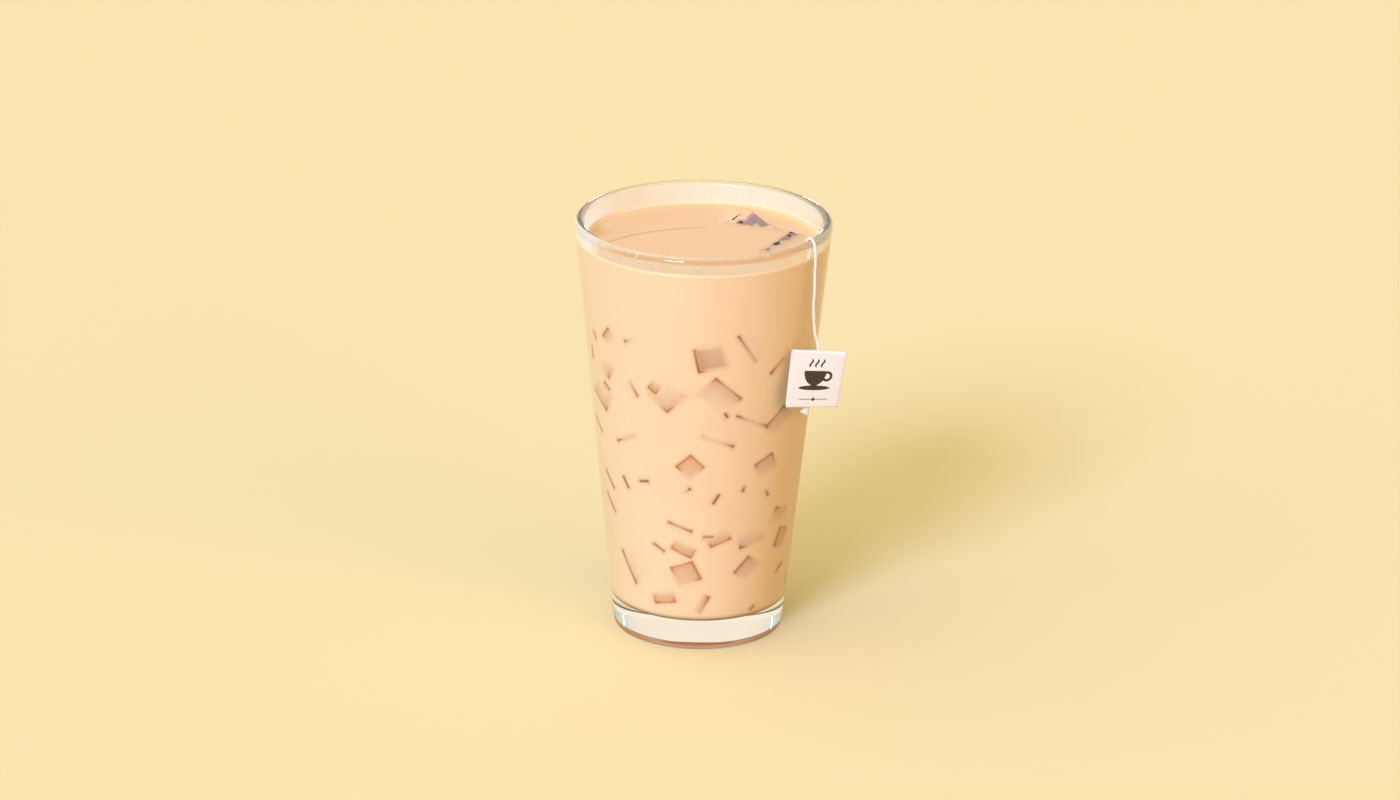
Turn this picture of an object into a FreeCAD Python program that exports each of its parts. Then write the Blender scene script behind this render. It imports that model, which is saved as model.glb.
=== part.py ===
"""Iced milk tea in a conical pint glass, with two ice cubes at the surface and a tea tag on its string.

Millimetres, +Z up. The origin is the centre of the glass's foot, on the table; -Y is the front.
Each piece is one solid in parts/: tumbler, milk_tea, ice_cube_back, ice_cube_side, tag_string
and paper_tag.
"""

import math
import os

import FreeCAD, Part
from FreeCAD import Placement, Rotation, Vector

# Glass: a straight cone with a full round rim and a thick foot
glass_height = 149.2
rim_outer_radius = 44.8
base_outer_radius = 29.5
rim_wall = 3.6
floor_wall = 4.2
floor_thickness = 10.4
heel_radius = 1.6
inner_corner_radius = 3.0
push_up_radius = 21.0
push_up_height = 0.3

# Tea: its level below the rim, and how it climbs the wall
fill_gap = 8.0
meniscus_rise = 1.6
meniscus_width = 2.6

# Ice at the surface: each block lies lengthwise, sideways and downwards from its top corner.
# The corners are set out from the wall at the blocks' deepest reach, in the ice_bearing direction.
ice_bearing = 35.0
ice_reach = 20.0
ice_edge_radius = 1.1

back_cube_size = (23.0, 19.5, 19.0)
back_cube_from_wall = (-15.9, 2.8)
back_cube_above_tea = 4.3
back_cube_turn = (-145.5, 21.3, -13.7)

side_cube_size = (24.5, 9.0, 18.0)
side_cube_from_wall = (-1.3, -11.6)
side_cube_above_tea = 1.0
side_cube_turn = (-116.0, 1.5, -15.0)

# String: from the tea over the rim to the tag
string_diameter = 1.0
string_route = [
    Vector(31.2, -17.8, 136.0),
    Vector(31.9, -20.0, 152.7),
    Vector(40.3, -26.2, 152.7),
    Vector(38.2, -24.6, 132.0),
    Vector(38.1, -24.4, 121.0),
    Vector(40.3, -24.2, 108.7),
]

# Tag: a card folded over the string's end and glued along its foot
tag_width = 20.2
tag_height = 20.0
tag_leaf = 0.3
tag_string_room = 0.1
tag_tuck = 1.2
tag_glued = 4.0
tag_turn = 21.5
tag_slant = 8.7
tongue_right = -0.6
tongue_left = -4.0
tongue_drop = 3.4
tongue_corner_drop = 1.9
tongue_root = 1.0

tea_level = glass_height - fill_gap


def outer_radius(z):
    """Outer radius of the glass's cone at a height."""
    return base_outer_radius + (rim_outer_radius - base_outer_radius) * z / glass_height


def inner_radius(z):
    """Inner radius of the glass at a height: the wall thickens evenly towards the floor."""
    low = outer_radius(floor_thickness) - floor_wall
    high = rim_outer_radius - rim_wall
    return low + (high - low) * (z - floor_thickness) / (glass_height - floor_thickness)


def full_round_radius(width, outward, inward):
    """Radius that rounds a rim of this width completely, from the angles inside its two corners."""
    return width / (1 / math.tan(outward / 2) + 1 / math.tan(inward / 2))


def rounded_outline(corners):
    """Closed wire in the XZ plane through corners (x, z, radius), each with its own tangent arc."""
    points = [Vector(x, 0, z) for x, z, radius in corners]
    pieces = []
    for i, (x, z, radius) in enumerate(corners):
        corner = points[i]
        back = (points[i - 1] - corner).normalize()
        ahead = (points[(i + 1) % len(points)] - corner).normalize()
        if radius == 0:
            pieces.append((corner, None, corner))
            continue
        half = back.getAngle(ahead) / 2
        middle = (back + ahead).normalize()
        centre = corner + middle * (radius / math.sin(half))
        reach = radius / math.tan(half)
        pieces.append((corner + back * reach, centre - middle * radius, corner + ahead * reach))
    edges = []
    whole = pieces[:1]
    for start, bulge, end in pieces[1:]:
        if start.distanceToPoint(whole[-1][2]) < 1e-6:
            whole[-1] = (whole[-1][0], start, end)  # two arcs that meet are one round end
        else:
            whole.append((start, bulge, end))
    for i, (start, bulge, end) in enumerate(whole):
        if bulge is not None:
            edges.append(Part.Arc(start, bulge, end).toShape())
        edges.append(Part.makeLine(end, whole[(i + 1) % len(whole)][0]))
    return Part.Wire(edges)


def turned(wire):
    """Solid of revolution of a closed outline about the glass's axis."""
    return Part.Face(wire).revolve(Vector(0, 0, 0), Vector(0, 0, 1), 360)


def tumbler():
    """Glass: cone, full round rim, rounded heel, thick foot, hollowed a little underneath."""
    outer_lean = math.atan((rim_outer_radius - base_outer_radius) / glass_height)
    inner_rise = glass_height - floor_thickness
    inner_lean = math.atan((inner_radius(glass_height) - inner_radius(floor_thickness)) / inner_rise)
    rim_radius = full_round_radius(rim_wall, math.pi / 2 - outer_lean, math.pi / 2 + inner_lean)
    body = turned(
        rounded_outline(
            [
                (0, 0, 0),
                (base_outer_radius, 0, heel_radius),
                (rim_outer_radius, glass_height, rim_radius),
                (inner_radius(glass_height), glass_height, rim_radius),
                (inner_radius(floor_thickness), floor_thickness, inner_corner_radius),
                (0, floor_thickness, 0),
            ]
        )
    )
    dome_radius = (push_up_radius**2 + push_up_height**2) / (2 * push_up_height)
    dome = Part.makeSphere(dome_radius, Vector(0, 0, push_up_height - dome_radius))
    return body.cut(dome)


def tea_body():
    """All that the glass holds, up to the tea's level, climbing the wall in a hollow curve."""
    wall_top = tea_level + meniscus_rise
    low = inner_radius(floor_thickness)
    high = inner_radius(wall_top)
    body = turned(
        rounded_outline(
            [
                (0, floor_thickness, 0),
                (low, floor_thickness, inner_corner_radius),
                (high, wall_top, 0),
                (0, wall_top, 0),
            ]
        )
    )
    hollow = (meniscus_width**2 + meniscus_rise**2) / (2 * meniscus_rise)
    flat_radius = high - meniscus_width
    centre_z = tea_level + hollow
    lean = math.atan2(meniscus_width, centre_z - wall_top) / 2
    climb = Part.Arc(
        Vector(flat_radius, 0, tea_level),
        Vector(flat_radius + hollow * math.sin(lean), 0, centre_z - hollow * math.cos(lean)),
        Vector(high, 0, wall_top),
    ).toShape()
    lid = [
        Part.makeLine(Vector(0, 0, tea_level), Vector(flat_radius, 0, tea_level)),
        climb,
        Part.makeLine(Vector(high, 0, wall_top), Vector(high, 0, glass_height)),
        Part.makeLine(Vector(high, 0, glass_height), Vector(0, 0, glass_height)),
        Part.makeLine(Vector(0, 0, glass_height), Vector(0, 0, tea_level)),
    ]
    return body.cut(turned(Part.Wire(lid)))


def ice_block(size, from_wall, above_tea, turn):
    """Ice block with soft edges, hung from its top corner beside the wall."""
    length, width, depth = size
    block = Part.makeBox(length, width, depth, Vector(0, 0, -depth))
    block = block.makeFillet(ice_edge_radius, block.Edges)
    bearing = math.radians(ice_bearing)
    wall = inner_radius(tea_level - ice_reach)
    corner = Vector(
        wall * math.cos(bearing) + from_wall[0],
        wall * math.sin(bearing) + from_wall[1],
        tea_level + above_tea,
    )
    block.Placement = Placement(corner, Rotation(*turn))
    return block


def cord_path(points):
    """Wire of straight runs joined by tangent arcs, each as large as its two runs allow."""
    edges = []
    start = points[0]
    for before, corner, after in zip(points, points[1:], points[2:]):
        back = before - corner
        ahead = after - corner
        reach = 0.45 * min(back.Length, ahead.Length)
        half = back.getAngle(ahead) / 2
        back.normalize()
        ahead.normalize()
        middle = (back + ahead).normalize()
        radius = reach * math.tan(half)
        bulge = corner + middle * (radius / math.sin(half) - radius)
        edges.append(Part.makeLine(start, corner + back * reach))
        edges.append(Part.Arc(corner + back * reach, bulge, corner + ahead * reach).toShape())
        start = corner + ahead * reach
    edges.append(Part.makeLine(start, points[-1]))
    return Part.Wire(edges)


def cord_tube(points, diameter):
    """Round tube along the cord's path."""
    path = cord_path(points)
    along = (points[1] - points[0]).normalize()
    section = Part.Wire(Part.makeCircle(diameter / 2, points[0], along))
    return path.makePipeShell([section], True, False)


def paper_tag(string):
    """Folded card with the fold on top, held by the string's end, and a pointed tongue below it."""
    outside = string_diameter / 2 + tag_string_room + tag_leaf
    inside = outside - tag_leaf
    foot = -tag_height

    def leaves(half, fold, bottom):
        """Outline of the two leaves from the side: half its thickness below, fold its radius on top."""
        tips = [Vector(0, half, bottom), Vector(0, fold, -outside), Vector(0, 0, fold - outside)]
        left = [Vector(0, -p.y, p.z) for p in tips]
        edges = [
            Part.makeLine(tips[0], tips[1]),
            Part.Arc(tips[1], tips[2], left[1]).toShape(),
            Part.makeLine(left[1], left[0]),
        ]
        if half > 0:
            edges.append(Part.makeLine(left[0], tips[0]))
        return Part.Face(Part.Wire(edges))

    profile = leaves(tag_leaf, outside, foot).cut(leaves(0, inside, foot + tag_glued))
    card = profile.extrude(Vector(tag_width, 0, 0))
    card.translate(Vector(-tag_width / 2, 0, 0))
    corners = [
        Vector(tongue_right, 0, foot + tongue_root),
        Vector(tongue_right, 0, foot - tongue_drop),
        Vector(tongue_left, 0, foot - tongue_corner_drop),
    ]
    tongue = Part.Face(Part.makePolygon(corners + corners[:1])).extrude(Vector(0, tag_leaf, 0))
    card = card.fuse(tongue)
    turn = Rotation(tag_turn, tag_slant, 0)
    fold_at = string_route[-1] - turn.multVec(Vector(0, 0, -tag_tuck))
    card.Placement = Placement(fold_at, turn)
    return card.cut(string)


def save(shape, name):
    """Writes one piece, which is a single solid, as parts/name.step."""
    solids = shape.Solids
    print(f"{name}: {len(solids)} solid, {shape.Volume / 1000:.2f} cm3, valid {shape.isValid()}")
    solids[0].exportStep(f"parts/{name}.step")


def main():
    os.makedirs("parts", exist_ok=True)
    back_cube = ice_block(back_cube_size, back_cube_from_wall, back_cube_above_tea, back_cube_turn)
    side_cube = ice_block(side_cube_size, side_cube_from_wall, side_cube_above_tea, side_cube_turn)
    string = cord_tube(string_route, string_diameter)
    tea = tea_body()
    for sunk in (back_cube, side_cube, string):
        tea = tea.cut(sunk)
    save(tumbler(), "tumbler")
    save(tea, "milk_tea")
    save(back_cube, "ice_cube_back")
    save(side_cube, "ice_cube_side")
    save(string, "tag_string")
    save(paper_tag(string), "paper_tag")


main()
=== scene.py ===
import math
import random

import bmesh
import bpy
from mathutils import Matrix, Vector


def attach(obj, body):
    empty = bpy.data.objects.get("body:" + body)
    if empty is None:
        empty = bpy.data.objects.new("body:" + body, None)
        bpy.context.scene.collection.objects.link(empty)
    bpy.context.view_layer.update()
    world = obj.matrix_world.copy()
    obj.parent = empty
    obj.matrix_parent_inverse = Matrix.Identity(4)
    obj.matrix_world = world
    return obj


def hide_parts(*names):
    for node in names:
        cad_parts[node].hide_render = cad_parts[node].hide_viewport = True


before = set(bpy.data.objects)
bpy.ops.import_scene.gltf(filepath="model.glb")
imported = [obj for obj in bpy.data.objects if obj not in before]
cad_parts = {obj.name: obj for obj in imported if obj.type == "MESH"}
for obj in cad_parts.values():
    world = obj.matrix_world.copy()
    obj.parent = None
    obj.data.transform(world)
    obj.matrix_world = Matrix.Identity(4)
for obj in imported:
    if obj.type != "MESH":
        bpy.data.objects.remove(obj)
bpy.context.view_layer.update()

mm = 0.001
scene = bpy.context.scene


# objects and meshes

def newObject(name, mesh):
    obj = bpy.data.objects.new(name, mesh)
    scene.collection.objects.link(obj)
    return obj


def meshFrom(name, points, faces, smooth=True):
    mesh = bpy.data.meshes.new(name)
    mesh.from_pydata([tuple(p) for p in points], [], faces)
    mesh.validate()
    bm = bmesh.new()
    bm.from_mesh(mesh)
    bmesh.ops.recalc_face_normals(bm, faces=bm.faces)
    bm.to_mesh(mesh)
    bm.free()
    mesh.shade_smooth() if smooth else mesh.shade_flat()
    return mesh


def baked(obj):
    # turns the live modifiers into a plain mesh
    shown = obj.evaluated_get(bpy.context.evaluated_depsgraph_get())
    mesh = bpy.data.meshes.new_from_object(shown)
    obj.modifiers.clear()
    obj.data = mesh


def roundedOutline(corners, stepsPerArc):
    # (radius, height) points through corners (radius, height, round), each round a tangent arc
    points = [Vector((c[0], c[1])) for c in corners]
    outline = []
    for i, corner in enumerate(points):
        rounding = corners[i][2]
        if rounding == 0:
            outline.append(corner)
            continue
        back = (points[i - 1] - corner).normalized()
        ahead = (points[(i + 1) % len(points)] - corner).normalized()
        half = back.angle(ahead) / 2
        centre = corner + (back + ahead).normalized() * rounding / math.sin(half)
        first = corner + back * rounding / math.tan(half) - centre
        last = corner + ahead * rounding / math.tan(half) - centre
        sweep = first.angle_signed(last)
        for k in range(stepsPerArc + 1):
            outline.append(centre + Matrix.Rotation(-sweep * k / stepsPerArc, 2) @ first)
    return outline


def divided(outline, longest):
    # the outline with its long stretches cut into even steps
    points = []
    for a, b in zip(outline, outline[1:]):
        steps = max(1, math.ceil((b - a).length / longest))
        points += [a + (b - a) * k / steps for k in range(steps)]
    return points + outline[-1:]


def lathe(name, outline, columns):
    # turns an outline that starts and ends on the axis
    points, rings, faces = [], [], []
    for radius, height in outline:
        if radius < 1e-6:
            rings.append([len(points)] * columns)
            points.append((0, 0, height))
            continue
        rings.append(range(len(points), len(points) + columns))
        for k in range(columns):
            angle = 2 * math.pi * k / columns
            points.append((radius * math.cos(angle), radius * math.sin(angle), height))
    for low, high in zip(rings, rings[1:]):
        for k in range(columns):
            n = (k + 1) % columns
            corners = [low[k], low[n], high[n], high[k]]
            faces.append(list(dict.fromkeys(corners)))
    return newObject(name, meshFrom(name, points, faces))


# nodes

class Value:
    # a node's output, to be reckoned with like a number
    def __init__(self, socket):
        self.socket = socket
        self.tree = socket.id_data

    def __add__(self, other):
        return calc("ADD", self, other)

    def __sub__(self, other):
        return calc("SUBTRACT", self, other)

    def __rsub__(self, other):
        return calc("SUBTRACT", other, self)

    def __mul__(self, other):
        return calc("MULTIPLY", self, other)

    def __truediv__(self, other):
        return calc("DIVIDE", self, other)

    def __rtruediv__(self, other):
        return calc("DIVIDE", other, self)

    def __lt__(self, other):
        return calc("LESS_THAN", self, other)

    def __gt__(self, other):
        return calc("GREATER_THAN", self, other)

    def __abs__(self):
        return calc("ABSOLUTE", self)


class Outputs:
    # a node's outputs by name or number
    def __init__(self, node):
        self.node = node

    def __getitem__(self, key):
        return Value(self.node.outputs[key])


def put(tree, kind, values=None, **settings):
    # one node with its settings; a value is a number or another node's output
    node = tree.nodes.new(kind)
    for key, value in settings.items():
        setattr(node, key, value)
    for key, value in (values or {}).items():
        if isinstance(value, Value):
            tree.links.new(value.socket, node.inputs[key])
        else:
            node.inputs[key].default_value = value
    return Outputs(node)


def calc(operation, *values):
    tree = next(v.tree for v in values if isinstance(v, Value))
    return put(tree, "ShaderNodeMath", dict(enumerate(values)), operation=operation)[0]


def vecCalc(operation, *values):
    node = put(values[0].tree, "ShaderNodeVectorMath", dict(enumerate(values)), operation=operation)
    return node["Value" if operation in ("LENGTH", "DISTANCE", "DOT_PRODUCT") else "Vector"]


def scaled(vector, factor):
    values = {"Vector": vector, "Scale": factor}
    return put(vector.tree, "ShaderNodeVectorMath", values, operation="SCALE")["Vector"]


def split(vector):
    return put(vector.tree, "ShaderNodeSeparateXYZ", {0: vector})


def levelPart(axes):
    # the vector from the upright axis
    return put(axes["X"].tree, "ShaderNodeCombineXYZ", {"X": axes["X"], "Y": axes["Y"]})[0]


def mixColor(factor, a, b):
    return put(factor.tree, "ShaderNodeMix", {"Factor": factor, 6: a, 7: b}, data_type="RGBA")[2]


def mixShader(factor, a, b):
    return put(a.tree, "ShaderNodeMixShader", {0: factor, 1: a, 2: b})[0]


def remap(value, low, high, toLow=0.0, toHigh=1.0, curve="SMOOTHSTEP"):
    # value from low..high to toLow..toHigh, held at the ends
    values = {"Value": value, "From Min": low, "From Max": high, "To Min": toLow, "To Max": toHigh}
    return put(value.tree, "ShaderNodeMapRange", values, interpolation_type=curve)["Result"]


def noise(vector, scale, detail=2.0, roughness=0.5):
    values = {"Vector": vector, "Scale": scale, "Detail": detail, "Roughness": roughness}
    return put(vector.tree, "ShaderNodeTexNoise", values)["Fac"]


def bump(height, strength, distance):
    values = {"Height": height, "Strength": strength, "Distance": distance}
    return put(height.tree, "ShaderNodeBump", values)[0]


def attribute(tree, name):
    return put(tree, "ShaderNodeAttribute", attribute_name=name)["Fac"]


def eitherRay(tree, first, second):
    rays = put(tree, "ShaderNodeLightPath")
    return calc("MAXIMUM", rays[f"Is {first} Ray"], rays[f"Is {second} Ray"])


def clearFor(tree, color, shader):
    # lamps shine straight through what has this shader
    clear = put(tree, "ShaderNodeBsdfTransparent", {"Color": color})[0]
    return mixShader(eitherRay(tree, "Shadow", "Diffuse"), shader, clear)


def principled(tree, color, roughness, values):
    return put(tree, "ShaderNodeBsdfPrincipled", {"Base Color": color, "Roughness": roughness, **values})[0]


def newMaterial(name):
    # a material with an empty tree, and the place in the object
    mat = bpy.data.materials.new(name)
    mat.use_nodes = True
    tree = mat.node_tree
    tree.nodes.clear()
    return mat, tree, put(tree, "ShaderNodeTexCoord")["Object"]


def finished(mat, shader):
    put(mat.node_tree, "ShaderNodeOutputMaterial", {"Surface": shader})
    return mat


def shapeTree(name, values):
    # a Geometry Nodes tree with geometry in and out, and a named input for each value
    tree = bpy.data.node_groups.new(name, "GeometryNodeTree")
    tree.interface.new_socket("Geometry", in_out="INPUT", socket_type="NodeSocketGeometry")
    for label, value in values.items():
        kind = {float: "Float", int: "Int"}.get(type(value), type(value).__name__)
        tree.interface.new_socket(label, in_out="INPUT", socket_type="NodeSocket" + kind)
    tree.interface.new_socket("Geometry", in_out="OUTPUT", socket_type="NodeSocketGeometry")
    return tree, put(tree, "NodeGroupInput")


def endTree(shape, material):
    tree = shape.tree
    real = put(tree, "GeometryNodeRealizeInstances", {"Geometry": shape})[0]
    dressed = put(tree, "GeometryNodeSetMaterial", {"Geometry": real, "Material": material})[0]
    put(tree, "NodeGroupOutput", {"Geometry": dressed})


def useTree(obj, tree, values):
    mod = obj.modifiers.new(tree.name, "NODES")
    mod.node_group = tree
    for item in tree.interface.items_tree:
        if item.in_out == "INPUT" and item.name in values:
            mod[item.identifier] = values[item.name]
    baked(obj)


def smoothed(shape):
    return put(shape.tree, "GeometryNodeSetShadeSmooth", {"Geometry": shape})[0]


def shapeOf(target):
    return put(target.tree, "GeometryNodeObjectInfo", {"Object": target})["Geometry"]


def distanceTo(shape, place, element):
    # from each place to the nearest of a shape's faces or edges
    values = {"Geometry": shape, "Sample Position": place}
    return put(shape.tree, "GeometryNodeProximity", values, target_element=element)["Distance"]


def finer(shape, steps):
    # divides the chosen faces; each step is a choice and how often it is halved
    tree = shape.tree
    kept = []
    for chosen, level in steps:
        values = {"Geometry": shape, "Selection": chosen}
        parts = put(tree, "GeometryNodeSeparateGeometry", values, domain="FACE")
        kept.append(parts["Inverted"])
        shape = put(tree, "GeometryNodeSubdivideMesh", {"Mesh": parts["Selection"], "Level": level})[0]
    joined = put(tree, "GeometryNodeJoinGeometry")
    for part in kept + [shape]:
        tree.links.new(part.socket, joined.node.inputs[0])
    return put(tree, "GeometryNodeMergeByDistance", {"Geometry": joined[0], "Distance": 0.01 * mm})[0]


def scattered(name, rows, material, kind, values, smooth=False):
    # a shape on each place, turned and sized there, as one mesh; a row is place, turn, size and tone
    mesh = bpy.data.meshes.new(name)
    mesh.from_pydata([row[0] for row in rows], [], [])
    for part, label in ((1, "turn"), (2, "size")):
        layer = mesh.attributes.new(label, "FLOAT_VECTOR", "POINT")
        layer.data.foreach_set("vector", [v for row in rows for v in row[part]])
    mesh.attributes.new("tone", "FLOAT", "POINT").data.foreach_set("value", [row[3] for row in rows])
    obj = newObject(name, mesh)
    inputValues = {"Material": material}
    tree, inputs = shapeTree(name + "Places", inputValues)
    turn, size = (put(tree, "GeometryNodeInputNamedAttribute", {"Name": label}, data_type="FLOAT_VECTOR")[0]
                  for label in ("turn", "size"))
    placed = put(tree, "GeometryNodeInstanceOnPoints", {
        "Points": inputs["Geometry"], "Instance": put(tree, kind, values)["Mesh"],
        "Rotation": put(tree, "FunctionNodeEulerToRotation", {0: turn})[0], "Scale": size})[0]
    if smooth:
        placed = smoothed(put(tree, "GeometryNodeRealizeInstances", {"Geometry": placed})[0])
    endTree(placed, inputs["Material"])
    useTree(obj, tree, inputValues)
    return obj


# camera, floor and light

viewSpec = {
    "lens": 164.16, "aimHeight": 0.0746, "distance": 2.2315,
    "elevation": 20.334, "roll": 0.882, "shiftX": -0.00057, "shiftY": 0.01494,
}
studioSpec = {
    "backdrop": (0.913, 0.768, 0.425, 1), "bounce": 0.38, "floorHalf": 4.0,
    # what glass and wet surfaces see beyond the paper: behind, at the sides and overhead
    "roomBack": (0.98, 0.86, 0.69, 1), "roomSide": (0.80, 0.86, 0.79, 1),
    "roomSideLow": (0.60, 0.49, 0.27, 1), "roomTop": (0.86, 0.88, 0.86, 1),
    "sideRises": (0.0, 0.3), "sideBegins": (0.50, 0.85), "topBegins": (0.45, 0.9),
    "paperEnds": (0.35, 1.1), "underFoot": (0.045, 0.030),
    # soft light from all over the yellow room, brightest at one bearing
    "skyNear": (1.25, 1.21, 0.94, 1), "skyAway": (0.19, 0.18, 0.10, 1), "skyTurn": -70.0,
    # a cool key lamp and low warm fills: colour, strength, bearing, height and spread in degrees
    "suns": {
        "keySun": ((0.455, 0.56, 1.0), 2.75, -27.7, 33.2, 20.0),
        "warmFill": ((1.0, 0.46, 0.15), 1.45, 50.0, 8.0, 50.0),
        "warmFillLeft": ((1.0, 0.46, 0.15), 0.60, -60.0, 8.0, 50.0),
    },
    # soft boxes that only show as highlights in the glass: bearing, height, size, power
    "boxes": {
        "softBoxLeft": (-27.7, 33.2, (0.6, 0.6), 26),
        "softBoxRight": (127, 20, (0.045, 0.5), 0.16),
        "softBoxFarLeft": (-127, 20, (0.045, 0.5), 0.16),
        "windowLeft": (186.5, 4, (0.09, 0.14), 0.75),
        "windowRight": (173.5, 4, (0.09, 0.14), 0.75),
    },
    "sunDistance": 3.0, "boxDistance": 2.2, "boxAim": (0, 0, 0.1),
}


def buildCamera():
    data = bpy.data.cameras.new("camera")
    data.lens = viewSpec["lens"]
    data.sensor_width = 36
    data.shift_x = viewSpec["shiftX"]
    data.shift_y = viewSpec["shiftY"]
    data.clip_end = 50
    cam = newObject("camera", data)
    tilt = math.radians(viewSpec["elevation"])
    away = Vector((0, -math.cos(tilt), math.sin(tilt)))
    cam.location = Vector((0, 0, viewSpec["aimHeight"])) + away * viewSpec["distance"]
    look = away.to_track_quat("Z", "Y").to_matrix()
    cam.rotation_euler = (look @ Matrix.Rotation(math.radians(viewSpec["roll"]), 3, "Z")).to_euler()
    scene.camera = cam


def roomColor(direction):
    # the studio round the table, by direction
    s = studioSpec
    axes = split(vecCalc("NORMALIZE", direction))
    sides = mixColor(remap(axes["Z"], *s["sideRises"]), s["roomSideLow"], s["roomSide"])
    level = mixColor(remap(abs(axes["X"]), *s["sideBegins"]), s["roomBack"], sides)
    return mixColor(remap(axes["Z"], *s["topBegins"]), level, s["roomTop"])


def buildFloor():
    s = studioSpec
    corners = [(x * s["floorHalf"], y * s["floorHalf"], 0) for x, y in ((-1, -1), (1, -1), (1, 1), (-1, 1))]
    floor = newObject("floor", meshFrom("floor", corners, [(0, 1, 2, 3)], smooth=False))
    mat, tree, where = newMaterial("paperBackdrop")
    # the paper throws less light back on the glass than it shows, like a darker table close by
    bounced = [v * s["bounce"] for v in s["backdrop"][:3]] + [1]
    second = put(tree, "ShaderNodeLightPath")["Is Diffuse Ray"]
    paper = put(tree, "ShaderNodeBsdfDiffuse", {"Color": mixColor(second, s["backdrop"], bounced)})[0]
    # seen in or through the glass, the paper ends and the room begins, and so it does under the foot
    reach = vecCalc("LENGTH", where)
    ended = calc("MAXIMUM", remap(reach, *s["paperEnds"]), remap(reach, *s["underFoot"]))
    room = put(tree, "ShaderNodeEmission", {"Color": roomColor(where)})[0]
    shown = mixShader(ended * eitherRay(tree, "Glossy", "Transmission"), paper, room)
    floor.data.materials.append(finished(mat, shown))


def buildWorld():
    s = studioSpec
    world = bpy.data.worlds.new("studio")
    scene.world = world
    world.use_nodes = True
    tree = world.node_tree
    tree.nodes.clear()
    direction = put(tree, "ShaderNodeTexCoord")["Generated"]
    turn = math.radians(s["skyTurn"])
    facing = vecCalc("DOT_PRODUCT", vecCalc("NORMALIZE", direction), (math.sin(turn), -math.cos(turn), 0))
    sky = mixColor(facing * 0.5 + 0.5, s["skyAway"], s["skyNear"])
    light, seen, room = (put(tree, "ShaderNodeBackground", {"Color": color, "Strength": 1.0})[0]
                         for color in (sky, s["backdrop"], roomColor(direction)))
    first = mixShader(put(tree, "ShaderNodeLightPath")["Is Camera Ray"], light, seen)
    last = mixShader(eitherRay(tree, "Glossy", "Transmission"), first, room)
    put(tree, "ShaderNodeOutputWorld", {"Surface": last})


def aimed(obj, turn, height, distance, target):
    # stands a lamp at a bearing from the camera's side (negative is left) and turns it to the target
    a, e = math.radians(turn), math.radians(height)
    away = Vector((math.sin(a) * math.cos(e), -math.cos(a) * math.cos(e), math.sin(e)))
    obj.location = Vector(target) + away * distance
    obj.rotation_euler = away.to_track_quat("Z", "Y").to_euler()


def buildLamps():
    s = studioSpec
    for name, (color, power, turn, height, spread) in s["suns"].items():
        sun = bpy.data.lights.new(name, "SUN")
        sun.energy = power
        sun.angle = math.radians(spread)
        sun.color = color
        lamp = newObject(name, sun)
        aimed(lamp, turn, height, s["sunDistance"], (0, 0, 0))
        lamp.visible_glossy = False
        lamp.visible_transmission = False
    for name, (turn, height, size, power) in s["boxes"].items():
        box = bpy.data.lights.new(name, "AREA")
        box.shape = "RECTANGLE"
        box.size, box.size_y = size
        box.energy = power
        lamp = newObject(name, box)
        aimed(lamp, turn, height, s["boxDistance"], s["boxAim"])
        lamp.visible_diffuse = False
        lamp.visible_transmission = not name.startswith("window")


# materials

glassLook = {
    "ior": 1.5, "tint": (0.985, 0.992, 0.985, 1), "shadowClear": (0.95, 0.96, 0.95, 1),
    "shadowEdge": (0.77, 0.78, 0.72, 1),
    # the rim: painted cool at its sides, where the glass is seen through its thickness, and painted warm at
    # the front, a painted reflection of the tea it faces
    "rimCool": (0.60, 0.74, 0.95, 1), "rimGrey": (0.66, 0.68, 0.62, 1), "rimWarm": (0.88, 0.60, 0.38, 1),
    "rimBand": (0.0030, 0.0020), "rimSides": (0.033, 0.041), "rimFront": (-0.026, -0.036),
    "warmFrom": (0.0022, 0.0019), "warmTo": (0.0007, 0.0004), "smear": (0.12, 0.32),
    # the heel: a painted reflection of the tea's underside, darker in painted stripes and along its top
    "heelShade": (0.46, 0.175, 0.048, 1), "heelDark": (0.33, 0.15, 0.065, 1), "heelHeight": 0.0031,
    "heelWidth": 0.003, "heelCover": 0.8, "heelStart": (0.0002, 0.0005), "heelSoft": 0.0002,
    "heelLine": (0.0007, 0.0003),
}
teaLook = {
    "milk": (0.95, 0.69, 0.41, 1), "cream": (0.96, 0.71, 0.43, 1), "bottom": (0.66, 0.33, 0.13, 1),
    "bottomBand": (0.0004, 0.0016),
    # ice seen through tea, painted into its colour: its faces, the tea beside them and their lines, with
    # painted shade from pale to warm tone
    "icePale": (0.60, 0.36, 0.29, 1), "iceOrange": (0.72, 0.37, 0.17, 1), "iceDeep": (0.36, 0.135, 0.09, 1),
    "haloPale": (0.70, 0.41, 0.27, 1), "haloWarm": (0.80, 0.43, 0.19, 1),
    "iceBrown": (0.31, 0.088, 0.022, 1), "iceRust": (0.56, 0.19, 0.040, 1),
    # the open surface, with a ring of thin tea along the wall
    "surface": (0.885, 0.56, 0.295, 1), "ring": (0.92, 0.60, 0.30, 1), "veil": (0.95, 0.74, 0.54, 1),
    "ringWidth": 0.0055, "overBlock": 0.75, "topBand": (0.0008, 0.0002), "wallBand": (0.0001, 0.0006),
    "veilBand": (0.0002, 0.0008), "veilBack": (-0.012, 0.002), "veilLeft": (0.002, 0.018),
    # a darker, warmer patch on the surface by the left wall
    "stain": (0.84, 0.45, 0.15, 1), "stainPlace": (-0.0385, 0.007, 0), "stainSize": 0.009, "stainCover": 0.8,
    # painted shadow of the rim: a thin dark line in an arc across the surface
    "streak": (0.62, 0.33, 0.12, 1), "arcCentre": (0.0057, -0.0366, 0), "arcRadius": 0.051,
    "arcStart": -0.0352, "arcEnd": 0.006, "arcFront": -0.012, "arcWidth": 0.0011, "arcCover": 0.7,
}
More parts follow.
